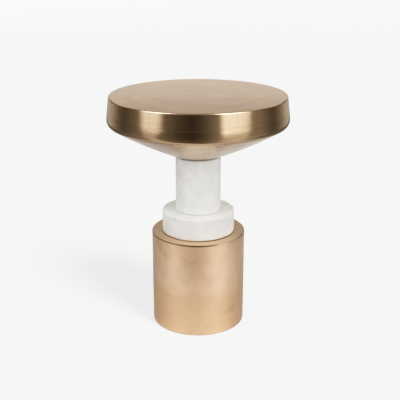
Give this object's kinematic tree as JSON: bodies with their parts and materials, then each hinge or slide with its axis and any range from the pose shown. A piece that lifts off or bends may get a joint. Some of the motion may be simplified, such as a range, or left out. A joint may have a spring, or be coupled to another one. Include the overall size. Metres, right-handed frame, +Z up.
{
  "type": "wine table",
  "caption": "Round pedestal wine table: a spun brass dish top on a marble column and collar over a weighted brass drum, clamped by a hidden tie rod.",
  "frame": {"origin": "on the floor, under the middle of the drum", "axes": "+Z up along the axis that every piece is turned about; the table is round, so X and Y are free"},
  "size_m": [0.3999, 0.4, 0.532],
  "materials": {
    "spun_brass": "satin",
    "drum_brass": "satin",
    "white_marble": "satin",
    "gasket_rubber": "matte",
    "core_wood": "matte",
    "mild_steel": "satin",
    "zinc_steel": "satin",
    "sleeve_plastic": "matte",
    "cast_iron": "matte",
    "felt": "matte"
  },
  "bodies": {
    "root": {"top_pan": "spun_brass", "under_bowl": "spun_brass", "drum_shell": "drum_brass", "marble_column": "white_marble", "marble_collar": "white_marble", "neck_gasket": "gasket_rubber", "column_gasket": "gasket_rubber", "collar_gasket": "gasket_rubber", "core_board": "core_wood", "hub_plate": "mild_steel", "hub_tube": "mild_steel", "hub_plug": "mild_steel", "core_screws": "zinc_steel", "jam_nut": "zinc_steel", "tie_rod": "zinc_steel", "rod_sleeve": "sleeve_plastic", "drum_top_plate": "mild_steel", "drum_post": "mild_steel", "base_weight": "cast_iron", "plain_washer": "zinc_steel", "lock_washer": "zinc_steel", "rod_nut": "zinc_steel", "felt_base_ring": "felt"}
  },
  "joints": []
}
